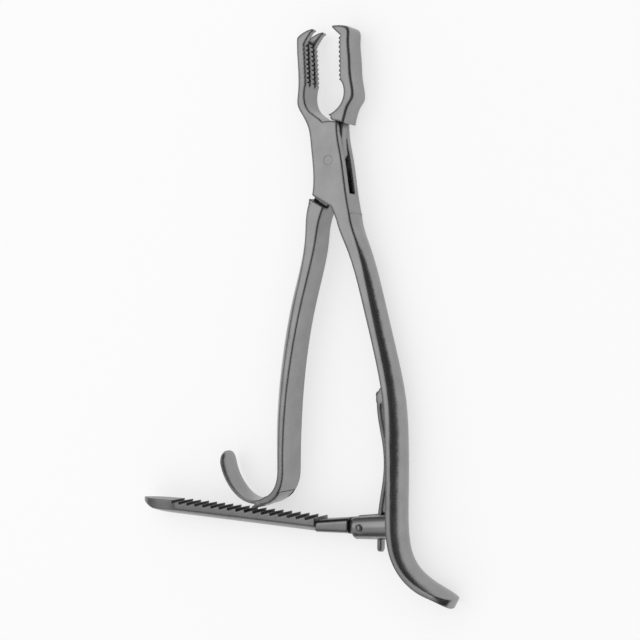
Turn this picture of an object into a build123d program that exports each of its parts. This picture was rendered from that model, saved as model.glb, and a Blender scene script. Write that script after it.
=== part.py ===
from build123d import *
from math import cos, radians, sin
import os

# Bone holding forceps with a box lock, toothed forked jaws, a finger hook and a hinged ratchet bar.
# The instrument lies in the XY plane: +Y runs to the jaws, +Z out of the plane along the lock pin.
# The origin is on the lock pin's axis, at the back face of the box. All sizes are in millimetres.

# Box lock
box_depth = 15.0
mid = box_depth / 2
slot_height = 6.0
slot_radius = 22.7
slot_side_clearance = 0.1
shoulder_clearance = 0.3
lock_pin_radius = 3.0
lock_pin_clearance = 0.05
swing_room_from = 205.0
swing_room_to = 277.0
swing_room_radius = 31.0
crotch_angle = 100.5
plate_angle = 75.0
jaw_shoulder_from = 63.5
jaw_shoulder_to = 84.0
box_rounding = 0.9
jaw_rounding = 1.8
left_rounding = 1.4

# Handles, deeper towards their lower ends
handle_depth_low = 20.0
hook_depth = 16.2
edge_rounding = 0.5

# Jaws
tooth_rows = 9
tooth_pitch = 2.7
tooth_depth = 0.9
groove_width = 1.6
groove_depth = 1.0
groove_spacing = 5.8
groove_overrun = 2.3
notch_width = 7.4
left_face_top = (-16.35, 69.6)
left_face_foot = (-15.15, 46.0)
left_notch_outer = (-21.4, 72.6)
right_face_top = (6.95, 69.9)
right_face_foot = (7.35, 46.0)
right_notch_outer = (12.1, 75.1)

# Outer sides of the jaws, from the tip down to the box
left_jaw_side = [(-22.0, 72.2), (-21.9, 64.0), (-21.1, 52.5), (-21.4, 40.0), (-21.6, 33.6), (-18.3, 27.4),
                 (-14.0, 19.0), (-12.4, 9.5), (-11.4, 0.7), (-10.7, -9.8), (-11.5, -19.6)]
right_jaw_side = [(11.8, 76.4), (13.3, 75.0), (13.8, 69.0), (14.5, 58.8), (15.3, 47.0), (16.7, 39.0),
                  (16.4, 34.6), (13.9, 31.0), (11.6, 25.6)]

# Ratchet bar, in its own frame: u runs from the hinge pin to the free tip, v runs up to the pawl
bar_pin_x = 20.4
bar_pin_y = -211.0
bar_pin_radius = 1.5
bar_pin_clearance = 0.05
pin_head_radius = 1.9
pin_head_height = 0.9
pin_seat_depth = 0.5
bar_tilt = 1.45
bar_depth = 15.0
bar_top = 3.0
bar_side_foot = -1.5
bar_belly = -5.7
bar_length = 162.0
bow_length = 30.0
tip_top = 2.2
tip_foot = 0.2
rack_notches = 17
rack_pitch = 6.2
rack_first = 36.4
rack_depth = 1.9
rack_lean = -0.3
crest_width = 0.5
valley_width = 0.6
shoulder_reach = 29.8
neck_reach = 8.8
neck_root_height = 7.0
neck_end_height = 9.0
neck_corner = 2.8
neck_root_depth = 13.5
neck_depth = 11.0
neck_root_drop = 2.1
neck_end_rise = 0.2
tongue_width = 4.9
tongue_height = 9.0
spring_clearance = 0.3

# Fork that carries the bar, riveted to the right handle
fork_radius = 7.4
fork_nose_radius = 7.1
fork_tilt = 6.0
fork_overrun = 2.0
fork_nose = 5.4
fork_seat_radius = 8.0
fork_slot = 5.5
fork_slot_end = 35.4
fork_seat_x = 39.2
fork_corner = 2.4
tenon_radius = 2.5
tenon_depth = 4.0

# Leaf spring
spring_width = 5.0
spring_thickness = 2.4
rivet_radius = 1.25
rivet_head_radius = 1.9
rivet_head_height = 0.6
rivet_reach = 10.0
rivet_y = -134.9
spring_foot_x = 28.9

# Pawl tip under the finger hook
pawl_tip = (-52.3, -204.95)
pawl_back = (-52.9, -203.9)
pawl_heel = (-47.6, -203.0)
pawl_depth = 17.6

# Left side of the leaf, from the foot down to the tab below the fork
leaf_points = [(29.4, -140.2), (30.4, -149.5), (33.1, -163.2), (33.9, -172.0), (33.2, -183.5), (31.0, -196.5),
               (29.9, -206.0), (29.7, -213.0), (29.6, -224.3)]

leaf_inner_x = 29.7
shoulder_radius = slot_radius + shoulder_clearance
tail_radius = leaf_inner_x - bar_pin_x - spring_clearance
pin_seat = fork_radius - pin_seat_depth
bar_pin_at = Vector(bar_pin_x, bar_pin_y, mid)
pin_plane = Plane(origin=bar_pin_at)
tilt = radians(bar_tilt)
bar_side = Plane(origin=bar_pin_at, x_dir=(-cos(tilt), sin(tilt), 0), z_dir=(0, 0, -1))
bar_section = Plane(origin=bar_pin_at, x_dir=(0, 0, 1), z_dir=bar_side.x_dir)
fork_way = (cos(radians(fork_tilt)), sin(radians(fork_tilt)), 0)
fork_axis = Plane(origin=bar_pin_at, x_dir=(0, 0, 1), z_dir=fork_way)
fork_plan = Plane(origin=bar_pin_at, x_dir=fork_way, z_dir=(0, 0, 1))
seat_reach = fork_seat_x - bar_pin_x
bar_plan = Plane(origin=bar_pin_at, x_dir=bar_side.x_dir, z_dir=bar_side.y_dir)


def polar(radius, angle):
    return (radius * cos(radians(angle)), radius * sin(radians(angle)))


def handle_path(stations):
    with BuildLine() as path:
        Spline(*[(x, y, mid) for x, y, *_ in stations])
    return path.edge()


def d_section(path, station, side):
    # One slice across a handle: flat inner side on the path, crowned outer side away from it.
    x, y, flat, crown, depth, rounding = station
    along = path.tangent_at(Vector(x, y, mid))
    outward = along.rotate(Axis.Z, 90 * side)
    with BuildSketch(Plane(origin=(x, y, mid), x_dir=outward, z_dir=along)) as section:
        with BuildLine():
            Polyline((flat, -depth / 2), (0, -depth / 2), (0, depth / 2), (flat, depth / 2))
            ThreePointArc((flat, depth / 2), (flat + crown, 0), (flat, -depth / 2))
        make_face()
        fillet(section.vertices().group_by(Axis.X)[-1], rounding)
    return section.sketch


def end_rounding(station, along):
    # What is cut away to leave a half-round end, seen square to the face of a flat handle end.
    radius = station[4] / 2
    centre = Vector(station[0], station[1], mid) - along * radius
    face = Plane(origin=centre, x_dir=along, z_dir=along.rotate(Axis.Z, 90))
    with BuildSketch(face) as waste:
        Rectangle(3 * radius, 4 * radius, align=(Align.MIN, Align.CENTER))
        Circle(radius, mode=Mode.SUBTRACT)
    return waste.sketch


def rim_edges(body, *near):
    # The edges of the body's flat faces that run closest past the given points of its outline.
    picked = []
    for x, y in near:
        for z in (0, box_depth):
            at_face = body.edges().filter_by_position(Axis.Z, z - 0.01, z + 0.01)
            picked.append(at_face.sort_by_distance((x, y, z))[0])
    return picked


def face_frame(top, foot):
    # A plane through the gripping face: X runs down the rows of teeth, Z across the jaw's depth.
    down = Vector(foot[0] - top[0], foot[1] - top[1], 0).normalized()
    return Plane(origin=(top[0], top[1], mid), x_dir=down, z_dir=(0, 0, 1))


def teeth_cut(top, foot):
    # V notches across the gripping face, one between each two rows of teeth.
    with BuildSketch(face_frame(top, foot)) as notches:
        with Locations(*[((row + 0.5) * tooth_pitch, 0) for row in range(tooth_rows)]):
            Rectangle(tooth_depth * 2 ** 0.5, tooth_depth * 2 ** 0.5, rotation=45)
    return notches.sketch


def grooves_cut(top, foot):
    down = Vector(foot[0] - top[0], foot[1] - top[1], 0).normalized()
    length = tooth_rows * tooth_pitch + groove_overrun
    face = Plane(origin=(top[0], top[1], mid), x_dir=down, z_dir=down.cross(Vector(0, 0, 1)))
    with BuildSketch(face) as grooves:
        with Locations((length / 2 - groove_overrun / 2, 0)):
            with GridLocations(0, groove_spacing, 1, 2):
                Rectangle(length + groove_overrun, groove_width)
    return grooves.sketch


def prong_notch(top, outer):
    # The hollow between the two prongs: its floor slopes up from the gripping face to the outer edge.
    slope = Vector(outer[0] - top[0], outer[1] - top[1], 0)
    up = slope.cross(Vector(0, 0, 1)).normalized()
    up = up if up.Y > 0 else up * -1
    floor = Plane(origin=(top[0], top[1], mid), x_dir=slope.normalized(), z_dir=up)
    with BuildSketch(floor) as notch:
        with Locations((-slope.length, 0)):
            Rectangle(4 * slope.length, notch_width)
    return notch.sketch


# Stations down each handle: x and y on the inner edge, flat width, crown, depth, rounding of the outer edges
right_stations = [
    (5.5, -35.0, 9.6, 0.4, box_depth, box_rounding),
    (12.2, -51.1, 7.2, 2.4, box_depth, box_rounding),
    (22.6, -81.0, 4.9, 4.2, 16.4, edge_rounding),
    (31.4, -112.5, 4.1, 4.5, 17.6, edge_rounding),
    (36.8, -137.4, 3.9, 4.8, 18.8, edge_rounding),
    (38.6, -162.0, 3.6, 5.0, 19.8, edge_rounding),
    (39.0, -190.0, 3.5, 4.6, handle_depth_low, edge_rounding),
    (39.3, -214.0, 3.5, 4.6, handle_depth_low, edge_rounding),
    (42.0, -225.6, 3.3, 4.3, handle_depth_low, edge_rounding),
    (48.4, -235.8, 3.2, 4.1, handle_depth_low, edge_rounding),
    (61.2, -244.4, 3.1, 3.8, handle_depth_low, edge_rounding),
    (76.6, -251.6, 2.8, 3.4, handle_depth_low, edge_rounding),
]
left_stations = [
    (-3.4, -27.0, 10.4, 0.4, box_depth, box_rounding),
    (-8.5, -46.0, 7.2, 3.0, 15.4, box_rounding),
    (-17.3, -80.6, 4.6, 5.4, 16.6, edge_rounding),
    (-24.2, -112.0, 3.8, 6.0, 17.6, edge_rounding),
    (-27.7, -137.0, 3.5, 5.8, 19.2, edge_rounding),
    (-29.4, -160.0, 3.4, 5.2, handle_depth_low, edge_rounding),
    (-29.8, -178.0, 3.5, 4.0, handle_depth_low, edge_rounding),
    (-30.8, -188.5, 3.7, 2.8, 19.8, edge_rounding),
    (-35.4, -196.4, 3.6, 1.6, 19.2, edge_rounding),
    (-43.8, -201.0, 2.8, 1.2, 18.2, edge_rounding),
    (-53.2, -202.0, 1.5, 1.1, 17.0, edge_rounding),
    (-61.2, -199.9, 1.1, 1.2, hook_depth, edge_rounding),
    (-68.2, -194.7, 1.1, 1.2, hook_depth, edge_rounding),
    (-73.8, -187.0, 1.1, 1.2, hook_depth, edge_rounding),
    (-77.0, -177.5, 1.1, 1.2, hook_depth, edge_rounding),
    (-77.8, -172.2, 1.1, 1.1, hook_depth, edge_rounding),
]
right_path = handle_path(right_stations)
left_path = handle_path(left_stations)
right_outward = right_path.tangent_at(0).rotate(Axis.Z, 90)
left_outward = left_path.tangent_at(0).rotate(Axis.Z, -90)
right_root_inner = Vector(*right_stations[0][:2])
right_root_outer = right_root_inner + right_outward * right_stations[0][2]
left_root_inner = Vector(*left_stations[0][:2])
left_root_outer = left_root_inner + left_outward * left_stations[0][2]

# Half with the box: left jaw, box and right handle
with BuildPart() as box_half:
    with BuildSketch(Plane.XY.offset(mid)):
        with BuildLine():
            plate_top = polar(slot_radius, plate_angle)
            crotch = polar(slot_radius, crotch_angle)
            CenterArc((0, 0), slot_radius, plate_angle, crotch_angle - plate_angle)
            Spline(crotch, (-9.6, 26.8), (-13.8, 30.2), (-16.0, 34.4), (-16.6, 39.5), left_face_foot)
            Polyline(left_face_foot, left_face_top, (-12.1, 75.0), (-10.1, 75.9), (-10.9, 77.0))
            Spline((-10.9, 77.0), (-14.6, 76.4), (-18.2, 75.0), left_jaw_side[0])
            Spline(*left_jaw_side)
            Polyline(left_jaw_side[-1], (2.0, -27.1), right_root_inner, right_root_outer)
            Spline(right_root_outer, (11.7, -18.0), (8.4, 3.0), (6.7, 11.1), plate_top)
        make_face()
    extrude(amount=mid, both=True)
    fillet(rim_edges(box_half, left_jaw_side[2]), left_rounding)
    fillet(rim_edges(box_half, (9.3, -2.0)), box_rounding)
    loft(sections=[d_section(right_path, station, 1) for station in right_stations])
    tail_end = end_rounding(right_stations[-1], right_path.tangent_at(1))
    extrude(tail_end, amount=handle_depth_low, both=True, mode=Mode.SUBTRACT)
    with BuildSketch(Plane.XY.offset(mid)):
        Circle(slot_radius)
        with BuildLine():
            CenterArc((0, 0), swing_room_radius, swing_room_from, swing_room_to - swing_room_from)
            Line(polar(swing_room_radius, swing_room_to), (0, 0))
            Line((0, 0), polar(swing_room_radius, swing_room_from))
        make_face()
    extrude(amount=slot_height / 2, both=True, mode=Mode.SUBTRACT)
    extrude(teeth_cut(left_face_top, left_face_foot), amount=box_depth, both=True, mode=Mode.SUBTRACT)
    extrude(grooves_cut(left_face_top, left_face_foot), amount=groove_depth, both=True, mode=Mode.SUBTRACT)
    extrude(prong_notch(left_face_top, left_notch_outer), amount=box_depth, mode=Mode.SUBTRACT)
    with Locations((0, 0, mid)):
        Cylinder(lock_pin_radius, 2 * box_depth, mode=Mode.SUBTRACT)
    with Locations(fork_axis.offset(seat_reach)):
        Cylinder(tenon_radius, 2 * tenon_depth, mode=Mode.SUBTRACT)
    with Locations(Location((spring_foot_x, rivet_y, mid), (0, 90, 0))):
        Cylinder(rivet_radius, rivet_reach, align=(Align.CENTER, Align.CENTER, Align.MIN), mode=Mode.SUBTRACT)
box_half.part.label = "box_half"

# Half that passes through the box: right jaw, thin shank, left handle, finger hook and pawl
with BuildPart() as lock_half:
    with BuildSketch(Plane.XY.offset(mid)):
        with BuildLine():
            outer_foot = polar(shoulder_radius, jaw_shoulder_from)
            inner_foot = polar(shoulder_radius, jaw_shoulder_to)
            CenterArc((0, 0), shoulder_radius, jaw_shoulder_from, jaw_shoulder_to - jaw_shoulder_from)
            Polyline(inner_foot, (1.3, 24.1), (1.7, 25.2), (0.0, 26.2))
            Spline((0.0, 26.2), (6.1, 29.5), (9.4, 33.8), (10.4, 39.5), (9.3, 43.6), right_face_foot)
            Polyline(right_face_foot, right_face_top, (8.3, 71.0), (3.4, 75.5), (2.3, 76.6), (2.4, 77.7))
            Polyline((2.4, 77.7), (8.1, 77.1), right_jaw_side[0])
            Spline(*right_jaw_side, outer_foot)
        make_face()
        with BuildLine():
            Polyline(left_root_inner, left_root_outer, (-13.0, -21.6), left_root_inner)
        make_face()
    extrude(amount=mid, both=True)
    fillet(rim_edges(lock_half, right_jaw_side[3]), jaw_rounding)
    loft(sections=[d_section(left_path, station, -1) for station in left_stations])
    hook_end = end_rounding(left_stations[-1], left_path.tangent_at(1))
    extrude(hook_end, amount=hook_depth, both=True, mode=Mode.SUBTRACT)
    with BuildSketch(Plane.XY.offset(mid)):
        with BuildLine():
            Polyline((2.5, 23.3), (7.4, 22.8), (6.4, 12.0), (7.6, 3.4), (-3.0, -27.0), (-4.4, -29.0))
            Polyline((-4.4, -29.0), (-13.2, -23.6), (-11.2, -18.0), (-10.1, -9.8), (-10.5, 0.7), (2.5, 23.3))
        make_face()
    extrude(amount=slot_height / 2 - slot_side_clearance, both=True)
    with BuildSketch(Plane.XY.offset(mid)):
        with BuildLine():
            Polyline((-44.0, -197.4), pawl_back, pawl_tip, pawl_heel)
            Spline(pawl_heel, (-37.6, -198.4), (-33.4, -194.2))
            Line((-33.4, -194.2), (-44.0, -197.4))
        make_face()
    extrude(amount=pawl_depth / 2, both=True)
    extrude(teeth_cut(right_face_top, right_face_foot), amount=box_depth, both=True, mode=Mode.SUBTRACT)
    extrude(grooves_cut(right_face_top, right_face_foot), amount=groove_depth, both=True, mode=Mode.SUBTRACT)
    extrude(prong_notch(right_face_top, right_notch_outer), amount=box_depth, mode=Mode.SUBTRACT)
    with Locations((0, 0, mid)):
        Cylinder(lock_pin_radius + lock_pin_clearance, 2 * box_depth, mode=Mode.SUBTRACT)
lock_half.part.label = "lock_half"

# Lock pin, ground flush with both faces of the box
with BuildPart() as lock_pin:
    with Locations((0, 0, mid)):
        Cylinder(lock_pin_radius, box_depth)
lock_pin.part.label = "lock_pin"

# Ratchet bar: toothed flat top, rounded belly, bow-shaped free end, neck and tongue
with BuildPart() as ratchet_bar:
    with BuildSketch(bar_side):
        with BuildLine():
            bow = bar_length - bow_length
            Polyline((shoulder_reach, bar_belly), (shoulder_reach, bar_top), (bow, bar_top))
            Polyline((bow, bar_top), (bar_length, tip_top), (bar_length, tip_foot))
            Spline((bar_length, tip_foot), (bar_length - 6, -2.2), (bar_length - 16, -4.6), (bow, bar_belly))
            Line((bow, bar_belly), (shoulder_reach, bar_belly))
        make_face()
    extrude(amount=bar_depth / 2, both=True)
    with BuildSketch(bar_side):
        with BuildLine():
            valley = bar_top - rack_depth
            Polyline((rack_lean, bar_top), (0, valley), (-valley_width, valley),
                     (crest_width + rack_lean - rack_pitch, bar_top), (rack_lean, bar_top))
        notch = make_face(mode=Mode.PRIVATE)
        with Locations(*[(rack_first + rack_pitch * step, 0) for step in range(rack_notches)]):
            add(notch)
    extrude(amount=bar_depth, both=True, mode=Mode.SUBTRACT)
    with BuildSketch(bar_section):
        with BuildLine():
            side = bar_depth / 2
            Polyline((-side, bar_side_foot), (-side, 2 * bar_top), (side, 2 * bar_top), (side, bar_side_foot))
            ThreePointArc((side, bar_side_foot), (0, bar_belly), (-side, bar_side_foot))
        make_face()
    extrude(amount=bar_length + 1, mode=Mode.INTERSECT)
    with BuildSketch(bar_plan):
        with BuildLine():
            Polyline((bow, bar_depth / 2), (0, bar_depth / 2), (0, -bar_depth / 2), (bow, -bar_depth / 2))
            Spline((bow, -bar_depth / 2), (bar_length - 12, -6.0), (bar_length - 3, -3.0), (bar_length, 0),
                   (bar_length - 3, 3.0), (bar_length - 12, 6.0), (bow, bar_depth / 2))
        make_face()
    extrude(amount=2 * bar_length, both=True, mode=Mode.INTERSECT)
    with BuildSketch(bar_section.offset(shoulder_reach)):
        with Locations((0, -neck_root_drop)):
            RectangleRounded(neck_root_depth, neck_root_height, neck_corner)
    with BuildSketch(bar_section.offset(neck_reach)):
        with Locations((0, neck_end_rise)):
            RectangleRounded(neck_depth, neck_end_height, neck_corner)
    loft()
    with BuildSketch(bar_side):
        with Locations((neck_reach + 1, 0)):
            Rectangle(neck_reach + 1 + tail_radius, tongue_height, align=(Align.MAX, Align.CENTER))
    extrude(amount=tongue_width / 2, both=True)
    with BuildSketch(bar_side):
        Rectangle(2 * tail_radius, 4 * tail_radius, align=(Align.MAX, Align.CENTER))
        Circle(tail_radius, mode=Mode.SUBTRACT)
    extrude(amount=tongue_width, both=True, mode=Mode.SUBTRACT)
    with BuildSketch(bar_side):
        Circle(bar_pin_radius + bar_pin_clearance)
    extrude(amount=bar_depth, both=True, mode=Mode.SUBTRACT)
ratchet_bar.part.label = "ratchet_bar"

# Fork: a barrel with a full-length slot, seated on the right handle and held by its tenon
with BuildPart() as ratchet_fork:
    with Locations(fork_axis.offset(-fork_nose)):
        Cone(fork_nose_radius, fork_seat_radius, fork_nose + seat_reach + fork_overrun,
             align=(Align.CENTER, Align.CENTER, Align.MIN))
    with BuildSketch(fork_plan) as outline:
        with Locations((-fork_nose, 0)):
            Rectangle(4 * fork_radius, 4 * fork_radius, align=(Align.MIN, Align.CENTER))
        with Locations((-fork_nose, -fork_nose_radius)):
            Rectangle(fork_corner, fork_corner, align=(Align.MIN, Align.MIN), mode=Mode.SUBTRACT)
        with Locations((fork_corner - fork_nose, fork_corner - fork_nose_radius)):
            Circle(fork_corner)
    extrude(amount=fork_seat_radius, both=True, mode=Mode.INTERSECT)
    with BuildSketch(Plane.XY.offset(mid)):
        with Locations((fork_slot_end, bar_pin_y)):
            Rectangle(4 * fork_radius, 4 * fork_radius, align=(Align.MAX, Align.CENTER))
    extrude(amount=fork_slot / 2, both=True, mode=Mode.SUBTRACT)
    with Locations(fork_axis.offset(seat_reach)):
        Cylinder(tenon_radius, 2 * tenon_depth)
    add(box_half.part, mode=Mode.SUBTRACT)
    with Locations(bar_pin_at):
        Cylinder(bar_pin_radius + bar_pin_clearance, 4 * fork_radius, mode=Mode.SUBTRACT)
    with Locations(pin_plane.offset(pin_seat), pin_plane.offset(-pin_seat - fork_radius)):
        Cylinder(pin_head_radius + bar_pin_clearance, fork_radius,
                 align=(Align.CENTER, Align.CENTER, Align.MIN), mode=Mode.SUBTRACT)
ratchet_fork.part.label = "ratchet_fork"

# Hinge pin of the bar, with a low domed head at each end
with BuildPart() as bar_pin:
    head_seat = pin_seat + bar_pin_clearance
    with Locations(bar_pin_at):
        Cylinder(bar_pin_radius, 2 * head_seat)
    with Locations(pin_plane.offset(head_seat), pin_plane.offset(-head_seat - pin_head_height)):
        Cylinder(pin_head_radius, pin_head_height, align=(Align.CENTER, Align.CENTER, Align.MIN))
    rims = bar_pin.edges().filter_by(GeomType.CIRCLE).group_by(Axis.Z)
    fillet(rims[0] + rims[-1], pin_head_height - 0.2)
bar_pin.part.label = "bar_pin"

# Leaf spring: riveted foot on the handle, bowed leaf that runs down through the fork's slot
with BuildPart() as leaf_spring:
    with BuildSketch(Plane.XY.offset(mid)):
        with BuildLine():
            Spline(*leaf_points)
            Spline(*[(x + spring_thickness, y) for x, y in leaf_points])
            Line(leaf_points[-1], (leaf_points[-1][0] + spring_thickness, leaf_points[-1][1]))
            Line(leaf_points[0], (leaf_points[0][0] + spring_thickness, leaf_points[0][1]))
        make_face()
        with BuildLine():
            Polyline((31.6, -130.6), (spring_foot_x, -135.0), (spring_foot_x, -138.4), leaf_points[0],
                     (leaf_points[0][0] + spring_thickness, leaf_points[0][1]), (38.6, -139.8),
                     (37.6, -130.6), (31.6, -130.6))
        make_face()
    extrude(amount=spring_width / 2, both=True)
    add(box_half.part, mode=Mode.SUBTRACT)
    with Locations(Location((spring_foot_x, rivet_y, mid), (0, 90, 0))):
        Cylinder(rivet_radius, 4 * rivet_reach, mode=Mode.SUBTRACT)
    fillet(leaf_spring.edges().filter_by(Axis.X).group_by(Axis.Y)[0], spring_width / 2 - 0.1)
leaf_spring.part.label = "leaf_spring"

# Rivet of the spring's foot
with BuildPart() as spring_rivet:
    with Locations(Location((spring_foot_x, rivet_y, mid), (0, 90, 0))):
        Cylinder(rivet_radius, rivet_reach, align=(Align.CENTER, Align.CENTER, Align.MIN))
        Cylinder(rivet_head_radius, rivet_head_height, align=(Align.CENTER, Align.CENTER, Align.MAX))
    fillet(spring_rivet.edges().filter_by(GeomType.CIRCLE).sort_by(Axis.X)[0], rivet_head_height - 0.1)
spring_rivet.part.label = "spring_rivet"

os.makedirs("parts", exist_ok=True)
for piece in (box_half, lock_half, lock_pin, ratchet_bar, ratchet_fork, bar_pin, leaf_spring, spring_rivet):
    export_step(piece.part, f"parts/{piece.part.label}.step")
    print(piece.part.label, len(piece.solids()), round(piece.part.volume), piece.part.is_valid)
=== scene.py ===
from math import cos, radians, sin
import bpy
from mathutils import Matrix, Vector


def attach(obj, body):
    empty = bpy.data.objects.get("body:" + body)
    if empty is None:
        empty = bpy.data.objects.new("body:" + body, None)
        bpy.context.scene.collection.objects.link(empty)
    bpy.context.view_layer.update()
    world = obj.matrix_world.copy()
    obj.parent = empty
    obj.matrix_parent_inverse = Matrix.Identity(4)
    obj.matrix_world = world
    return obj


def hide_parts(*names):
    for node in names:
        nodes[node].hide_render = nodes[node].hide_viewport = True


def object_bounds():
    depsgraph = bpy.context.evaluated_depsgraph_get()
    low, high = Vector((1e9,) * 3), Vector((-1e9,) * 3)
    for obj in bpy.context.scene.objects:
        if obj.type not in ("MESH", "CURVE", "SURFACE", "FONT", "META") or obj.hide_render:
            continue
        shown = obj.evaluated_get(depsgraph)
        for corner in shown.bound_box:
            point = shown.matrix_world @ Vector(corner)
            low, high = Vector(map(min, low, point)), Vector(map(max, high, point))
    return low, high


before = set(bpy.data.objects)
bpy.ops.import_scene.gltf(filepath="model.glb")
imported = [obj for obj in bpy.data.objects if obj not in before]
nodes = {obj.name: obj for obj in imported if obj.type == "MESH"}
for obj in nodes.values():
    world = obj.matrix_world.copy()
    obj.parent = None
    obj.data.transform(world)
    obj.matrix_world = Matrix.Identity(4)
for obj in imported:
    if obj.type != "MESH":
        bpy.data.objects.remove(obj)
cadLow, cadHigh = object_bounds()
scene = bpy.context.scene
scene.view_settings.view_transform = "Standard"
print("frame loaded with", len(nodes), "nodes")


# Helpers for shader trees


def setInputs(node, values):
    for name, value in values.items():
        node.inputs[name].default_value = value


def rangeNode(tree, value, limits):
    node = tree.nodes.new("ShaderNodeMapRange")
    setInputs(node, limits)
    tree.links.new(value, node.inputs["Value"])
    return node


def mathNode(tree, operation, first, second=None):
    node = tree.nodes.new("ShaderNodeMath")
    node.operation = operation
    for socket, value in zip(node.inputs, (first, second)):
        if isinstance(value, float):
            socket.default_value = value
        elif value is not None:
            tree.links.new(value, socket)
    return node.outputs["Value"]


def mixedColour(tree, factor, first, second):
    mix = tree.nodes.new("ShaderNodeMix")
    mix.data_type = "RGBA"
    tree.links.new(factor, mix.inputs["Factor"])
    for socket, value in ((mix.inputs["A"], first), (mix.inputs["B"], second)):
        if isinstance(value, tuple):
            socket.default_value = (*value, 1)
        else:
            tree.links.new(value, socket)
    return mix.outputs["Result"]


def splitPlace(tree, kind):
    # X, Y and Z of a place on the object, of its normal, or of a direction out into the world
    place = tree.nodes.new("ShaderNodeTexCoord")
    parts = tree.nodes.new("ShaderNodeSeparateXYZ")
    tree.links.new(place.outputs[kind], parts.inputs["Vector"])
    return parts.outputs


def startGroup(name, inputs, outputs):
    group = bpy.data.node_groups.new(name, "ShaderNodeTree")
    for direction, sockets in (("INPUT", inputs), ("OUTPUT", outputs)):
        for label, kind in sockets.items():
            group.interface.new_socket(name=label, in_out=direction, socket_type=kind)
    return group, group.nodes.new("NodeGroupInput").outputs, group.nodes.new("NodeGroupOutput").inputs


def grouped(tree, group, **values):
    node = tree.nodes.new("ShaderNodeGroup")
    node.node_tree = group
    setInputs(node, values)
    return node


# Effects that several steels share


wearAndHighlightSettings = {"samples": 6, "band": {"From Min": 0.995, "From Max": 0.9}}


def wearAndHighlightGroup():
    # A mask that is 1 on outer edges, for steel worn bright by handling and also a painted highlight along
    # each edge
    group, entry, out = startGroup("wearAndHighlight", {"Reach": "NodeSocketFloat"}, {"Mask": "NodeSocketFloat"})
    rounded = group.nodes.new("ShaderNodeBevel")
    rounded.samples = wearAndHighlightSettings["samples"]
    geometry = group.nodes.new("ShaderNodeNewGeometry")
    facing = group.nodes.new("ShaderNodeVectorMath")
    facing.operation = "DOT_PRODUCT"
    group.links.new(entry["Reach"], rounded.inputs["Radius"])
    group.links.new(rounded.outputs["Normal"], facing.inputs[0])
    group.links.new(geometry.outputs["Normal"], facing.inputs[1])
    band = rangeNode(group, facing.outputs["Value"], wearAndHighlightSettings["band"])
    group.links.new(band.outputs["Result"], out["Mask"])
    return group


paintedShadeSettings = {"samples": 8, "band": {"From Min": 0.95, "From Max": 0.35}}


def paintedShadeGroup():
    # A mask that is 1 in corners and between teeth, where painted shade darkens the steel
    group, entry, out = startGroup("paintedShade", {"Reach": "NodeSocketFloat"}, {"Mask": "NodeSocketFloat"})
    hollow = group.nodes.new("ShaderNodeAmbientOcclusion")
    hollow.samples = paintedShadeSettings["samples"]
    hollow.only_local = True
    group.links.new(entry["Reach"], hollow.inputs["Distance"])
    band = rangeNode(group, hollow.outputs["AO"], paintedShadeSettings["band"])
    group.links.new(band.outputs["Result"], out["Mask"])
    return group


rounding = {"samples": 8}


def softEdgeGroup():
    # Normals rounded over by Reach at each edge, as the polishing wheel leaves them
    group, entry, out = startGroup("softEdge", {"Reach": "NodeSocketFloat"}, {"Normal": "NodeSocketVector"})
    rounded = group.nodes.new("ShaderNodeBevel")
    rounded.samples = rounding["samples"]
    group.links.new(entry["Reach"], rounded.inputs["Radius"])
    group.links.new(rounded.outputs["Normal"], out["Normal"])
    return group


beltMarks = {
    "lines": {"Scale": 1.0, "Detail": 4.0, "Roughness": 0.65},
    "clouds": {"Scale": 90.0, "Detail": 3.0},
}


def grindingGroup():
    # Fine lines left by the grinding belt, and broad clouds. Density is how close the lines lie each way
    group, entry, out = startGroup(
        "grinding",
        {"Turn": "NodeSocketVector", "Density": "NodeSocketVector"},
        {"Lines": "NodeSocketFloat", "Clouds": "NodeSocketFloat"})
    place = group.nodes.new("ShaderNodeTexCoord")
    turned = group.nodes.new("ShaderNodeMapping")
    stretched = group.nodes.new("ShaderNodeMapping")
    lines = group.nodes.new("ShaderNodeTexNoise")
    setInputs(lines, beltMarks["lines"])
    clouds = group.nodes.new("ShaderNodeTexNoise")
    setInputs(clouds, beltMarks["clouds"])
    group.links.new(place.outputs["Object"], turned.inputs["Vector"])
    group.links.new(entry["Turn"], turned.inputs["Rotation"])
    group.links.new(turned.outputs["Vector"], stretched.inputs["Vector"])
    group.links.new(entry["Density"], stretched.inputs["Scale"])
    group.links.new(stretched.outputs["Vector"], lines.inputs["Vector"])
    group.links.new(place.outputs["Object"], clouds.inputs["Vector"])
    group.links.new(lines.outputs["Fac"], out["Lines"])
    group.links.new(clouds.outputs["Fac"], out["Clouds"])
    return group


wearAndHighlight = wearAndHighlightGroup()
softEdge = softEdgeGroup()
paintedShade = paintedShadeGroup()
grinding = grindingGroup()


# Steel finishes


def reachByPlace(tree, look):
    # The hook is rounded more broadly than its handle, and the pin's ring isn't rounded at all
    parts = splitPlace(tree, "Object")
    if look["reachBy"] == "left":
        measure = parts["X"]
    else:
        squares = [mathNode(tree, "MULTIPLY", parts[axis], parts[axis]) for axis in ("X", "Y")]
        measure = mathNode(tree, "SQRT", mathNode(tree, "ADD", *squares))
    return rangeNode(tree, measure, look["reachRange"]).outputs["Result"]


def facingJaws(tree, look):
    # 1 where the surface faces the jaws, as the tops of the ratchet teeth do; painted shade goes there
    return rangeNode(tree, splitPlace(tree, "Normal")["Y"], look["jawSideShadeRange"]).outputs["Result"]


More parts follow.
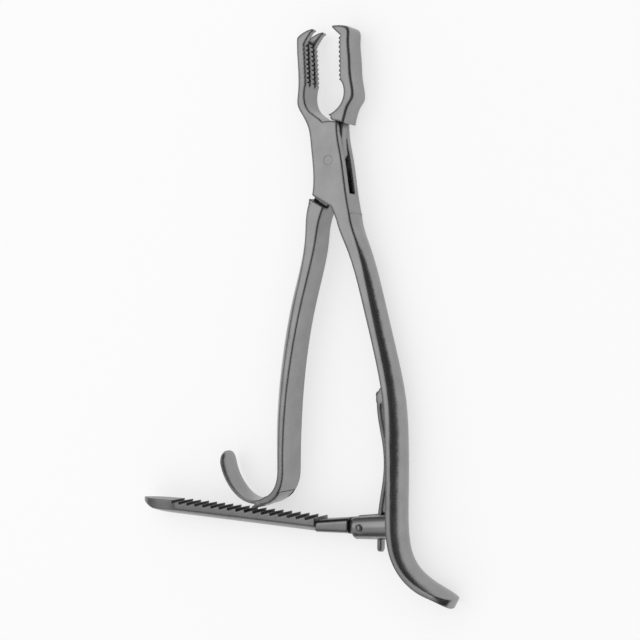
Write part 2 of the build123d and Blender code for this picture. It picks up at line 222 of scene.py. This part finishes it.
def groundSteel(look):
    material = bpy.data.materials.new(look["name"])
    material.use_nodes = True
    tree = material.node_tree
    steel = tree.nodes["Principled BSDF"]
    steel.inputs["Metallic"].default_value = 1.0
    belt = grouped(tree, grinding, Turn=look["turn"], Density=look["density"]).outputs
    wornAndHighlit = grouped(tree, wearAndHighlight, Reach=look["wearAndHighlightReach"]).outputs["Mask"]
    paintedShadeMask = grouped(tree, paintedShade, Reach=look["paintedShadeReach"]).outputs["Mask"]
    rounded = grouped(tree, softEdge, Reach=look["softReach"])
    if look["reachBy"]:
        tree.links.new(reachByPlace(tree, look), rounded.inputs["Reach"])
    base = mixedColour(tree, belt["Clouds"], look["dark"], look["light"])
    # Lighter edges: partly wear from handling, partly a painted highlight
    wornAndHighlitColour = mixedColour(tree, wornAndHighlit, base, look["edge"])
    # Painted shade, nearly black, in corners and between the teeth
    shade = mixedColour(tree, paintedShadeMask, wornAndHighlitColour, look["paintedShadeColour"])
    # Painted shade on the side of the bar that faces the jaws
    if look["jawSidePaintedShade"]:
        shade = mixedColour(tree, facingJaws(tree, look), shade, look["jawSidePaintedShade"])
    tree.links.new(shade, steel.inputs["Base Color"])
    rough = rangeNode(tree, belt["Lines"], {"To Min": look["smooth"], "To Max": look["coarse"]})
    tree.links.new(rough.outputs["Result"], steel.inputs["Roughness"])
    bump = tree.nodes.new("ShaderNodeBump")
    setInputs(bump, {"Distance": look["lineDepth"], "Strength": look["lineStrength"]})
    tree.links.new(belt["Lines"], bump.inputs["Height"])
    tree.links.new(rounded.outputs["Normal"], bump.inputs["Normal"])
    tree.links.new(bump.outputs["Normal"], steel.inputs["Normal"])
    return material


satinLook = {
    "name": "satinSteel",
    "dark": (0.26, 0.26, 0.263),
    "light": (0.37, 0.37, 0.374),
    # edge colour: worn steel and a painted highlight together
    "edge": (0.38, 0.38, 0.385),
    # near-black painted shade for corners and between teeth
    "paintedShadeColour": (0.02, 0.02, 0.021),
    "turn": (0, 0, radians(14)),
    "density": (2600, 60, 2600),
    "wearAndHighlightReach": 0.0007,
    "paintedShadeReach": 0.004,
    "smooth": 0.20,
    "coarse": 0.32,
    "lineDepth": 0.00003,
    "lineStrength": 0.05,
    "softReach": 0.0024,
    "reachBy": None,
    "jawSidePaintedShade": None,
}
boxLook = {
    **satinLook,
    "reachBy": "pin",
    "reachRange": {"From Min": 0.0056, "From Max": 0.0068, "To Min": 0.0, "To Max": 0.0024},
}
lockLook = {
    **satinLook,
    "name": "satinSteelLock",
    "turn": (0, 0, radians(-12)),
    "reachBy": "left",
    "reachRange": {"From Min": -0.050, "From Max": -0.044, "To Min": 0.0035, "To Max": 0.0024},
}
barLook = {
    **satinLook,
    "name": "barSteel",
    "dark": (0.22, 0.22, 0.223),
    "light": (0.32, 0.32, 0.324),
    "turn": (0, 0, radians(-1.5)),
    "density": (60, 2600, 2600),
    "paintedShadeReach": 0.006,
    "softReach": 0.0016,
    # painted shade for the teeth's side that faces the jaws
    "jawSidePaintedShade": (0.06, 0.06, 0.061),
    "jawSideShadeRange": {"From Min": 0.25, "From Max": 0.55},
}
forkLook = {
    **satinLook,
    "name": "forkSteel",
    "dark": (0.24, 0.24, 0.243),
    "light": (0.36, 0.36, 0.364),
    "turn": (0, 0, 0),
    "density": (2600, 200, 200),
    "smooth": 0.20,
    "coarse": 0.25,
}
springLook = {**satinLook, "name": "springSteel", "smooth": 0.22, "coarse": 0.34}
boxSteel, lockSteel, barSteel, forkSteel, springSteel = [
    groundSteel(look) for look in (boxLook, lockLook, barLook, forkLook, springLook)]
print("steel finishes made")


# Dressed pieces, one for each node


def pullIn(made, node, farthest):
    # A bevel throws a corner far out where two edges run nearly in line: it goes back to its neighbour
    points = made.data.vertices
    stray = {point.index for point in points
             if (point.co - node.closest_point_on_mesh(point.co)[1]).length > farthest}
    ends = [tuple(edge.vertices) for edge in made.data.edges]
    pairs = [pair for end in ends for pair in (end, end[::-1])]
    while stray:
        out, home = next(pair for pair in pairs if pair[0] in stray and pair[1] not in stray)
        points[out].co = points[home].co
        stray.remove(out)


def leaveOut(made, spots):
    # Edges inside these round spots, given as x, y and radius, aren't bevelled
    bpy.ops.object.mode_set(mode="OBJECT")
    for edge in made.data.edges:
        middle = sum((made.data.vertices[end].co for end in edge.vertices), Vector()) / 2
        if any((middle.xy - Vector(spot[:2])).length < spot[2] for spot in spots):
            edge.select = False
    bpy.ops.object.mode_set(mode="EDIT")


def dress(piece):
    node = nodes[piece["node"]]
    made = bpy.data.objects.new(piece["name"], node.data.copy())
    scene.collection.objects.link(made)
    bpy.ops.object.select_all(action="DESELECT")
    bpy.context.view_layer.objects.active = made
    made.select_set(True)
    bpy.ops.object.mode_set(mode="EDIT")
    bpy.ops.mesh.select_mode(type="VERT")
    bpy.ops.mesh.select_all(action="SELECT")
    bpy.ops.mesh.remove_doubles(threshold=piece["weld"])
    bpy.ops.mesh.dissolve_limited(angle_limit=radians(piece["flat"]))
    bpy.ops.mesh.select_mode(type="EDGE")
    bpy.ops.mesh.select_all(action="DESELECT")
    bpy.ops.mesh.edges_select_sharp(sharpness=radians(piece["sharp"]))
    leaveOut(made, piece["leaveSharp"])
    bpy.ops.mesh.bevel(offset=piece["round"], segments=piece["steps"], clamp_overlap=piece["clamp"])
    bpy.ops.object.mode_set(mode="OBJECT")
    pullIn(made, node, piece["farthest"])
    bpy.ops.object.mode_set(mode="EDIT")
    bpy.ops.mesh.select_all(action="SELECT")
    bpy.ops.mesh.remove_doubles(threshold=piece["weld"])
    bpy.ops.object.mode_set(mode="OBJECT")
    made.data.materials.clear()
    made.data.materials.append(piece["steel"])
    bpy.ops.object.shade_smooth_by_angle(angle=radians(piece["smooth"]))
    even = made.modifiers.new("even", "WEIGHTED_NORMAL")
    even.keep_sharp = True
    bpy.ops.object.modifier_apply(modifier="even")
    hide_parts(piece["node"])
    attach(made, piece["body"])
    print(made.name, len(made.data.polygons), "faces")


plain = {
    "weld": 0.000002,
    "flat": 0.6,  # degrees between faces that become one
    "sharp": 28,  # degrees at an edge from which it is bevelled
    "round": 0.0003,
    "steps": 2,
    "clamp": False,
    "farthest": 0.0003,  # how far a corner may stand off the solid
    "smooth": 35,  # degrees at an edge up to which it shades smooth
    "leaveSharp": [],
}
pinRing = (0, 0, 0.0036)
rightShoulder = (0.0136, -0.0314, 0.0015)
leftShoulder = (-0.0131, -0.0245, 0.0015)
boxHalf = {**plain, "name": "boxHalf", "node": "box_half", "body": "box_body", "slot": "satin_steel",
           "steel": boxSteel, "leaveSharp": [pinRing, rightShoulder]}
lockHalf = {**plain, "name": "lockHalf", "node": "lock_half", "body": "lock_body", "slot": "satin_steel",
            "steel": lockSteel, "leaveSharp": [leftShoulder]}
lockPin = {**plain, "name": "lockPin", "node": "lock_pin", "body": "box_body", "slot": "satin_steel",
           "steel": boxSteel, "leaveSharp": [pinRing]}
ratchetBar = {**plain, "name": "ratchetBar", "node": "ratchet_bar", "body": "bar_body",
              "slot": "bar_steel", "steel": barSteel, "round": 0.0002}
ratchetFork = {**plain, "name": "ratchetFork", "node": "ratchet_fork", "body": "box_body",
               "slot": "fork_steel", "steel": forkSteel}
barPin = {**plain, "name": "barPin", "node": "bar_pin", "body": "bar_body", "slot": "fork_steel",
          "steel": forkSteel, "round": 0.0001}
leafSpring = {**plain, "name": "leafSpring", "node": "leaf_spring", "body": "box_body",
              "slot": "spring_steel", "steel": springSteel}
springRivet = {**plain, "name": "springRivet", "node": "spring_rivet", "body": "box_body",
               "slot": "spring_steel", "steel": springSteel, "round": 0.0001}
for piece in (boxHalf, lockHalf, lockPin, ratchetBar, ratchetFork, barPin, leafSpring, springRivet):
    dress(piece)
print("pieces dressed")


# Floor, light and camera


table = {
    "size": 6.0,
    "middle": (0, -0.09),
    "paint": {"Base Color": (0.9, 0.9, 0.9, 1), "Roughness": 0.9, "Specular IOR Level": 0.1},
    "whiteShare": 0.6,
}


def backgroundRays(tree):
    # 1 for what the camera sees straight or through gloss and glass, 0 for light that falls on things
    rays = tree.nodes.new("ShaderNodeLightPath").outputs
    mirrored = mathNode(tree, "MAXIMUM", rays["Is Glossy Ray"], rays["Is Transmission Ray"])
    return mathNode(tree, "MAXIMUM", rays["Is Camera Ray"], mirrored)


bpy.ops.mesh.primitive_plane_add(size=table["size"], location=(*table["middle"], cadLow.z))
floor = bpy.context.object
floor.name = "floor"
floorPaint = bpy.data.materials.new("floorPaint")
floorPaint.use_nodes = True
tree = floorPaint.node_tree
matt = tree.nodes["Principled BSDF"]
setInputs(matt, table["paint"])
white = tree.nodes.new("ShaderNodeEmission")
blend = tree.nodes.new("ShaderNodeMixShader")
share = mathNode(tree, "MULTIPLY", backgroundRays(tree), table["whiteShare"])
tree.links.new(share, blend.inputs["Fac"])
tree.links.new(matt.outputs["BSDF"], blend.inputs[1])
tree.links.new(white.outputs["Emission"], blend.inputs[2])
tree.links.new(blend.outputs["Shader"], tree.nodes["Material Output"].inputs["Surface"])
floor.data.materials.append(floorPaint)

# White for the camera, and for reflections a room that is lit from the left and dark on the right
room = {
    "fill": 0.95,
    "seen": 1.0,
    "across": [(0.0, 0.30), (0.06, 0.32), (0.20, 0.62), (0.32, 0.60), (0.42, 0.54), (0.50, 0.50),
               (0.575, 0.12), (0.70, 0.08), (0.84, 0.10), (0.93, 0.05), (1.0, 0.25)],
    "ends": {"From Min": 0.45, "From Max": 0.85, "To Min": 1.0, "To Max": 0.25},
}
world = bpy.data.worlds.new("studio")
scene.world = world
world.use_nodes = True
tree = world.node_tree
sky = tree.nodes["Background"]
sky.inputs["Color"].default_value = (1, 1, 1, 1)
parts = splitPlace(tree, "Generated")
across = rangeNode(tree, parts["X"], {"From Min": -1.0})
bands = tree.nodes.new("ShaderNodeFloatCurve")
curve = bands.mapping.curves[0]
for point, (at, level) in zip(curve.points, (room["across"][0], room["across"][-1])):
    point.location = (at, level)
for at, level in room["across"][1:-1]:
    curve.points.new(at, level)
bands.mapping.update()
tree.links.new(across.outputs["Result"], bands.inputs["Value"])
ends = rangeNode(tree, mathNode(tree, "ABSOLUTE", parts["Y"]), room["ends"])
ends.interpolation_type = "SMOOTHSTEP"
reflected = mathNode(tree, "MULTIPLY", bands.outputs["Value"], ends.outputs["Result"])
rays = tree.nodes.new("ShaderNodeLightPath").outputs
metalSees = tree.nodes.new("ShaderNodeMix")
metalSees.inputs["A"].default_value = room["fill"]
tree.links.new(rays["Is Glossy Ray"], metalSees.inputs["Factor"])
tree.links.new(reflected, metalSees.inputs["B"])
allSee = tree.nodes.new("ShaderNodeMix")
allSee.inputs["B"].default_value = room["seen"]
straight = mathNode(tree, "MAXIMUM", rays["Is Camera Ray"], rays["Is Transmission Ray"])
tree.links.new(straight, allSee.inputs["Factor"])
tree.links.new(metalSees.outputs["Result"], allSee.inputs["A"])
tree.links.new(allSee.outputs["Result"], sky.inputs["Strength"])

softBox = {
    "name": "topLight",
    "at": (-0.55, 0.15, 1.0),
    "aimedAt": (*table["middle"], 0),
    "size": 0.9,
    "power": 1.25,
}
bpy.ops.object.light_add(type="AREA", location=softBox["at"])
lamp = bpy.context.object
lamp.name = softBox["name"]
lamp.data.size = softBox["size"]
lamp.data.energy = softBox["power"]
aim = Vector(softBox["aimedAt"]) - Vector(softBox["at"])
lamp.rotation_euler = aim.to_track_quat("-Z", "Y").to_euler()

# The camera stands over the object, round to its right
shot = {
    "lookAt": (-0.01013, -0.09233, 0.0075),
    "round": 32.0,
    "distance": 0.79074,
    "lens": 75.94,
    "sensor": 36,
}
bpy.ops.object.camera_add()
camera = bpy.context.object
turn = radians(shot["round"])
right = Vector((cos(turn), 0, -sin(turn)))
back = Vector((sin(turn), 0, cos(turn)))
spot = Vector(shot["lookAt"]) + back * shot["distance"]
axes = Matrix((right, (0, 1, 0), back)).transposed().to_4x4()
camera.matrix_world = Matrix.Translation(spot) @ axes
camera.data.lens = shot["lens"]
camera.data.sensor_width = shot["sensor"]
scene.camera = camera
print("studio set")
